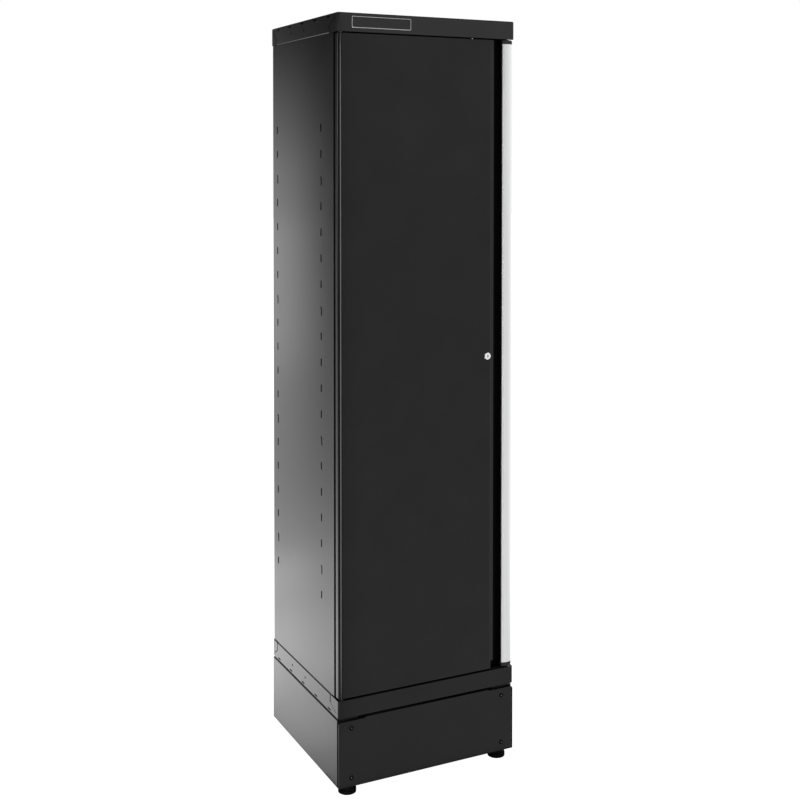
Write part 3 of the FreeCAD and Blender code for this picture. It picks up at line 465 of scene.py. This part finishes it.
def plated(name, metal, mottle, rough, painted_shade_depths=None):
    """A metal between two colours, with so many patches in a metre."""
    material, tree, skin = start_finish(name)
    place = add_node(tree, "ShaderNodeTexCoord")
    patches = add_node(tree, "ShaderNodeTexNoise", Scale=mottle, Detail=5.0)
    scratches = add_node(tree, "ShaderNodeTexNoise", Scale=mottle * 9, Detail=2.0)
    for texture in (patches, scratches):
        link(tree, place.outputs["Object"], texture.inputs["Vector"])
    dress_skin(tree, skin, place, patches.outputs["Fac"], scratches.outputs["Fac"],
               tones=((0.3, metal[0]), (0.7, metal[1])),
               gloss=(rough * 0.75, rough * 1.3), bump=(0.04, 0.1 * MM), painted_shade_depths=painted_shade_depths)
    skin.inputs["Metallic"].default_value = 1
    return material


bright_nickel = plated("bright_nickel", NICKEL, mottle=220.0, rough=0.3)
zinc_plate = plated("zinc_plate", ZINC, mottle=90.0, rough=0.34)
# a darker steel for the slugs that put a painted highlight in each plinth screw's socket
socket_highlight_steel = plated("socket_highlight_steel", STEEL, mottle=90.0, rough=0.42)
plug_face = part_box("lock_plug")[0].y
# painted shade: the plug's colour falls to this share of itself deep in the keyway
keyway_painted_shade = 0.02
plug_nickel_painted_shade = plated("plug_nickel_painted_shade", NICKEL, mottle=220.0, rough=0.3,
                     painted_shade_depths=(plug_face + 0.3 * MM, plug_face + 0.8 * MM, keyway_painted_shade))
print("nickel, zinc and steel ready")

# %% [markdown]
# ## Finishes on the CAD pieces
# Each CAD piece says which material it is made of, so a table from material to finish dresses all of them at
# once. Four pieces get a finish of their own: the top tray, whose coat mirrors more as a painted sheen; the
# lock's plug, with painted shade in its keyway; and the two front uprights, whose darker, duller coat is
# painted shade for the gap beside the door.

# %% Dress the CAD pieces
finish_of_slot = {
    "black_paint": powder_coat, "silver_aluminium": satin_aluminium, "handle_plastic": handle_moulding_painted_shade,
    "bright_nickel": bright_nickel, "zinc_steel": zinc_plate, "nylon": bush_nylon,
    "foot_plastic": foot_moulding, "rubber": buffer_rubber,
}
# the top tray's painted sheen, the plug's painted shade in the keyway, the uprights' painted shade for the
# door gap
own_finish = {
    "top_tray": top_tray_sheen_coat, "lock_plug": plug_nickel_painted_shade,
    "left_front_upright": painted_gap_shade_coat, "right_front_upright": painted_gap_shade_coat,
}
for part in frame["record"]["subparts"]:
    piece = nodes[part["node"]]
    piece.data.materials.clear()
    piece.data.materials.append(own_finish.get(part["node"], finish_of_slot[part["material_slot"]]))

# %% [markdown]
# ## Turned shapes
# A screw head is a turned shape with a six-sided socket, and a bolt head is a six-sided one on a
# round washer. Both are rings of points joined by faces, as a lathe and a milling cutter would
# leave them, so one helper makes them: each ring has a radius and a height in millimetres and is
# either round or six-sided.

# %% Helper for turned shapes
STEPS = 36


def ring_point(step, radius, sides):
    """A point of a ring; a ring with sides has flats, and its radius is measured to the flats."""
    turn = 2 * math.pi * step / STEPS
    if sides:
        sector = 2 * math.pi / sides
        off = (turn + sector / 2) % sector - sector / 2
        radius = radius / math.cos(off)
    return radius * math.cos(turn), radius * math.sin(turn)


def turned(name, rings):
    """A closed mesh from rings of (radius, height, sides), where sides 0 is round and radius 0 is a tip."""
    shape = bmesh.new()
    previous = None
    for radius, height, sides in rings:
        if radius == 0:
            current = [shape.verts.new((0, 0, height * MM))]
        else:
            places = [ring_point(step, radius * MM, sides) for step in range(STEPS)]
            current = [shape.verts.new((x, y, height * MM)) for x, y in places]
        if previous:
            for step in range(STEPS):
                after = (step + 1) % STEPS
                corners = [previous[step % len(previous)], previous[after % len(previous)],
                           current[after % len(current)], current[step % len(current)]]
                shape.faces.new(list(dict.fromkeys(corners)))
        previous = current
    bmesh.ops.recalc_face_normals(shape, faces=shape.faces)
    mesh = bpy.data.meshes.new(name)
    shape.to_mesh(mesh)
    shape.free()
    return bpy.data.objects.new(name, mesh)


socket_screw = turned("socket_screw", [
    (0, 0, 0), (6.0, 0, 0), (6.0, 0.6, 0), (5.4, 0.8, 0), (5.2, 1.3, 0), (4.6, 1.9, 0), (3.7, 2.4, 0),
    (2.8, 2.65, 0), (2.0, 2.65, 6), (2.0, 1.1, 6), (0, 1.1, 0)])
# a slug of steel at the bottom of a screw's socket, a painted highlight on the screw head
worn_socket = turned("worn_socket", [
    (0, 1.12, 0), (1.6, 1.12, 6), (1.6, 1.5, 6), (1.2, 1.6, 6), (0, 1.4, 0)])
hex_bolt = turned("hex_bolt", [
    (0, 0, 0), (9, 0, 0), (9, 1.3, 0), (6.9, 1.4, 0), (6.5, 1.5, 6), (6.5, 6.0, 6), (6.2, 6.6, 0),
    (0, 6.6, 0)])
print("screw and bolt heads:", len(socket_screw.data.polygons), len(hex_bolt.data.polygons), "faces")

# %% [markdown]
# ## Fasteners set out by Geometry Nodes
# Four blackened button screws hold the plinth's front plate, and four hex bolts inside the bottom tray hold
# the cabinet to the plinth. Each set is a rectangle of one part. The copies could be placed by hand, but a
# tree sets out both: a grid of four points, a copy of the part on each, and a turn of its own for each copy,
# since no fitter lines up the sockets. A slug of steel at the bottom of each socket gives each screw head a
# painted highlight.

# %% Start the tree that sets out fasteners
def new_input(tree, name, kind, default=None):
    """A named input of a tree; returns its identifier, which is how a modifier sets it."""
    entry = tree.interface.new_socket(name=name, in_out="INPUT", socket_type=kind)
    if default is not None:
        entry.default_value = default
    return entry.identifier


set_out = bpy.data.node_groups.new("set_out_fasteners", "GeometryNodeTree")
set_out.is_modifier = True
out_part = new_input(set_out, "Part", "NodeSocketObject")
out_across = new_input(set_out, "Across", "NodeSocketFloat", 0.4)
out_along = new_input(set_out, "Along", "NodeSocketFloat", 0.1)
out_seed = new_input(set_out, "Seed", "NodeSocketInt", 3)
out_finish = new_input(set_out, "Finish", "NodeSocketMaterial")
set_out.interface.new_socket(name="Geometry", in_out="OUTPUT", socket_type="NodeSocketGeometry")
print("inputs:", [entry.name for entry in set_out.interface.items_tree if entry.in_out == "INPUT"])

# %% Join the nodes that set out fasteners
given = set_out.nodes.new("NodeGroupInput")
result = set_out.nodes.new("NodeGroupOutput")
grid = add_node(set_out, "GeometryNodeMeshGrid", Vertices_X=2, Vertices_Y=2)
template = set_out.nodes.new("GeometryNodeObjectInfo")
any_turn = set_out.nodes.new("FunctionNodeRandomValue")
any_turn.data_type = "FLOAT"
turn_vector = set_out.nodes.new("ShaderNodeCombineXYZ")
copies = set_out.nodes.new("GeometryNodeInstanceOnPoints")
realise = set_out.nodes.new("GeometryNodeRealizeInstances")
paint = set_out.nodes.new("GeometryNodeSetMaterial")
link(set_out, given.outputs["Part"], template.inputs["Object"])
link(set_out, given.outputs["Across"], grid.inputs["Size X"])
link(set_out, given.outputs["Along"], grid.inputs["Size Y"])
link(set_out, given.outputs["Seed"], any_turn.inputs["Seed"])
link(set_out, any_turn.outputs["Value"], turn_vector.inputs["Z"])
link(set_out, grid.outputs["Mesh"], copies.inputs["Points"])
link(set_out, template.outputs["Geometry"], copies.inputs["Instance"])
link(set_out, turn_vector.outputs["Vector"], copies.inputs["Rotation"])
link(set_out, copies.outputs["Instances"], realise.inputs["Geometry"])
link(set_out, realise.outputs["Geometry"], paint.inputs["Geometry"])
link(set_out, given.outputs["Finish"], paint.inputs["Material"])
link(set_out, paint.outputs["Geometry"], result.inputs["Geometry"])
print("tree:", set_out.name, "with", len(set_out.nodes), "nodes")

# %% [markdown]
# ## From a tree to a plain piece
# A tree works its result out anew each time, and a real screw doesn't change once it is in. So the
# tree runs once on an empty holder, its result is kept as a plain mesh, and the holder is thrown
# away. The place goes into the mesh, as it does in every CAD piece, so the grain of the finish
# stays with the piece when its body moves.

# %% Helper that keeps a tree's result as a plain piece
def settle(name, tree, values, place, body):
    """Run a tree, keep its result as a plain mesh at the origin, and ride it on a body."""
    holder = bpy.data.objects.new(name + "_holder", bpy.data.meshes.new(name + "_holder"))
    bpy.context.scene.collection.objects.link(holder)
    modifier = holder.modifiers.new("tree", "NODES")
    modifier.node_group = tree
    for identifier, content in values.items():
        modifier[identifier] = content
    evaluated = holder.evaluated_get(bpy.context.evaluated_depsgraph_get())
    mesh = bpy.data.meshes.new_from_object(evaluated)
    holder.modifiers.clear()
    bpy.data.objects.remove(holder)
    mesh.transform(place)
    mesh.name = name
    piece = bpy.data.objects.new(name, mesh)
    bpy.context.scene.collection.objects.link(piece)
    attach(piece, body)
    print(name, "has", len(mesh.polygons), "faces")
    return piece


print("helper for plain pieces ready")

# %% Screws on the plinth plate
SCREW_SEED = 5
plate_low, plate_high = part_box("plinth_front_plate")
screw_inset = 36 * MM
screw_low, screw_high = 45.5 * MM, 174 * MM
plate_middle = Vector(((plate_low.x + plate_high.x) / 2, plate_low.y, (screw_low + screw_high) / 2))
facing_front = Matrix.Rotation(math.radians(90), 4, "X")
for name, part, finish, slot in (("plinth_screws", socket_screw, screw_blacking_painted_shade, "black_paint"),
                                 # the second set is the steel slugs that give each screw head a painted
                                 # highlight
                                 ("plinth_screw_sockets", worn_socket, socket_highlight_steel, "zinc_steel")):
    settle(name, set_out, {
        out_part: part, out_across: plate_high.x - plate_low.x - 2 * screw_inset,
        out_along: screw_high - screw_low, out_seed: SCREW_SEED, out_finish: finish,
    }, Matrix.Translation(plate_middle) @ facing_front, "cabinet")

# %% Bolts inside the bottom tray
BOLT_SEED = 9
tray_low, tray_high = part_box("bottom_tray")
tray_sheet = 1.5 * MM
bolt_side, bolt_end = 28 * MM, 90 * MM
tray_middle = Vector(((tray_low.x + tray_high.x) / 2, (tray_low.y + tray_high.y) / 2,
                      tray_low.z + tray_sheet))
settle("plinth_bolts", set_out, {
    out_part: hex_bolt, out_across: tray_high.x - tray_low.x - 2 * bolt_side,
    out_along: tray_high.y - tray_low.y - 2 * bolt_end, out_seed: BOLT_SEED, out_finish: zinc_plate,
}, Matrix.Translation(tray_middle), "cabinet")

# %% [markdown]
# ## Threaded studs
# Each foot stands on an M10 stud that screws into a nut in the plinth. CAD keeps the stud as a
# plain rod for its fit. Here a thread with its real pitch of 1.5 mm replaces it: a spiral carries a
# three-cornered section round a slimmer core. A tree does this well because the section simply
# follows a path.

# %% Start the tree for a thread
RIDGE_SHARE = 0.68
BARE_END = 1 * MM
thread = bpy.data.node_groups.new("cut_thread", "GeometryNodeTree")
thread.is_modifier = True
thread_radius = new_input(thread, "Outer Radius", "NodeSocketFloat", 5 * MM)
new_input(thread, "Depth", "NodeSocketFloat", 0.9 * MM)
thread_length = new_input(thread, "Length", "NodeSocketFloat", 48 * MM)
thread_turns = new_input(thread, "Turns", "NodeSocketFloat", 30.0)
thread_finish = new_input(thread, "Finish", "NodeSocketMaterial")
thread.interface.new_socket(name="Geometry", in_out="OUTPUT", socket_type="NodeSocketGeometry")
given = thread.nodes.new("NodeGroupInput")
result = thread.nodes.new("NodeGroupOutput")
core_radius = combine(thread, "SUBTRACT", given.outputs["Outer Radius"], given.outputs["Depth"])
ridge_radius = combine(thread, "MULTIPLY", given.outputs["Depth"], RIDGE_SHARE)
path_radius = combine(thread, "SUBTRACT", given.outputs["Outer Radius"], ridge_radius)
half_length = combine(thread, "DIVIDE", given.outputs["Length"], 2.0)
run = combine(thread, "SUBTRACT", given.outputs["Length"], 2 * BARE_END)
print("inputs:", [entry.name for entry in thread.interface.items_tree if entry.in_out == "INPUT"])

# %% Carry the ridge along a spiral
spiral = add_node(thread, "GeometryNodeCurveSpiral", Resolution=28)
link(thread, given.outputs["Turns"], spiral.inputs["Rotations"])
link(thread, path_radius, spiral.inputs["Start Radius"])
link(thread, path_radius, spiral.inputs["End Radius"])
link(thread, run, spiral.inputs["Height"])
section = add_node(thread, "GeometryNodeCurvePrimitiveCircle", Resolution=3)
link(thread, ridge_radius, section.inputs["Radius"])
sweep = add_node(thread, "GeometryNodeCurveToMesh", Fill_Caps=True)
link(thread, spiral.outputs["Curve"], sweep.inputs["Curve"])
link(thread, section.outputs["Curve"], sweep.inputs["Profile Curve"])
lift = thread.nodes.new("GeometryNodeTransform")
lift.inputs["Translation"].default_value = (0, 0, BARE_END)
link(thread, sweep.outputs["Mesh"], lift.inputs["Geometry"])
print("ridge ready")

# %% Put the core inside and join the two
core = add_node(thread, "GeometryNodeMeshCylinder", Vertices=32)
link(thread, core_radius, core.inputs["Radius"])
link(thread, given.outputs["Length"], core.inputs["Depth"])
core_place = thread.nodes.new("ShaderNodeCombineXYZ")
link(thread, half_length, core_place.inputs["Z"])
stand = thread.nodes.new("GeometryNodeTransform")
link(thread, core.outputs["Mesh"], stand.inputs["Geometry"])
link(thread, core_place.outputs["Vector"], stand.inputs["Translation"])
both = thread.nodes.new("GeometryNodeJoinGeometry")
link(thread, lift.outputs["Geometry"], both.inputs["Geometry"])
link(thread, stand.outputs["Geometry"], both.inputs["Geometry"])
realise = thread.nodes.new("GeometryNodeRealizeInstances")
paint = thread.nodes.new("GeometryNodeSetMaterial")
link(thread, both.outputs["Geometry"], realise.inputs["Geometry"])
link(thread, realise.outputs["Geometry"], paint.inputs["Geometry"])
link(thread, given.outputs["Finish"], paint.inputs["Material"])
link(thread, paint.outputs["Geometry"], result.inputs["Geometry"])
print("tree:", thread.name, "with", len(thread.nodes), "nodes")

# %% Cut the four studs
PITCH = 1.5 * MM
for end in ("front", "rear"):
    for hand in ("left", "right"):
        low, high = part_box(f"{end}_{hand}_foot_stud")
        length = high.z - low.z
        stud = settle(f"{end}_{hand}_threaded_stud", thread, {
            thread_radius: (high.x - low.x) / 2, thread_length: length, thread_turns: length / PITCH,
            thread_finish: zinc_plate,
        }, Matrix.Translation(((low.x + high.x) / 2, (low.y + high.y) / 2, low.z)),
            f"{end}_{hand}_foot")
        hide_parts(f"{end}_{hand}_foot_stud")

# %% [markdown]
# ## A blank plate on the top tray
# A shallow blank plate sits at the left of the top tray's front: dark plastic inside a thin raised
# rim of aluminium. A bevelled box would do, but a stack of rounded outlines, like the rings of the
# screws, gives the rim and the sunk middle in one closed mesh. Each outline is set in a little from
# the last.

# %% Helper for rounded outlines
def rounded_rectangle(width, height, radius, steps=5):
    """The points round a rectangle with rounded corners."""
    points = []
    for x, z, start in ((1, 1, 0), (-1, 1, 90), (-1, -1, 180), (1, -1, 270)):
        for step in range(steps + 1):
            turn = math.radians(start + 90 * step / steps)
            points.append((x * (width / 2 - radius) + radius * math.cos(turn),
                           z * (height / 2 - radius) + radius * math.sin(turn)))
    return points


print("outline helper ready")

# %% Make the blank plate
RIM = 1
front_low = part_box("top_tray")[0]
plate_width, plate_height, plate_corner = 167 * MM, 29 * MM, 3 * MM
plate_from_left, plate_level = 122.7 * MM, 1976.7 * MM
plate_centre = Vector((front_low.x + plate_from_left, front_low.y, plate_level))
layers = [(0, 0), (0, 1.0), (0.4, 1.4), (1.0, 1.4), (1.3, 0.8)]  # (inset, rise) in millimetres
shape = bmesh.new()
loops = []
for inset, rise in layers:
    outline = rounded_rectangle(plate_width - 2 * inset * MM, plate_height - 2 * inset * MM,
                                plate_corner - inset * MM)
    loops.append([shape.verts.new(plate_centre + Vector((x, -rise * MM, z))) for x, z in outline])
for inner, outer in zip(loops[1:], loops):
    for step in range(len(outer)):
        after = (step + 1) % len(outer)
        face = shape.faces.new((outer[step], outer[after], inner[after], inner[step]))
        face.material_index = RIM
shape.faces.new(loops[-1])
shape.faces.new(loops[0])
bmesh.ops.recalc_face_normals(shape, faces=shape.faces)
mesh = bpy.data.meshes.new("blank_plate")
shape.to_mesh(mesh)
shape.free()
mesh.materials.append(handle_moulding_painted_shade)
mesh.materials.append(satin_aluminium)
blank_plate = bpy.data.objects.new("blank_plate", mesh)
bpy.context.scene.collection.objects.link(blank_plate)
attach(blank_plate, "cabinet")
print("blank plate:", len(mesh.polygons), "faces")

# %% [markdown]
# ## Finish
# The single screw, socket slug and bolt were only patterns for the copies, so they are taken away.

# %% Clear the templates and finish
for template_piece in (socket_screw, worn_socket, hex_bolt):
    bpy.data.objects.remove(template_piece)
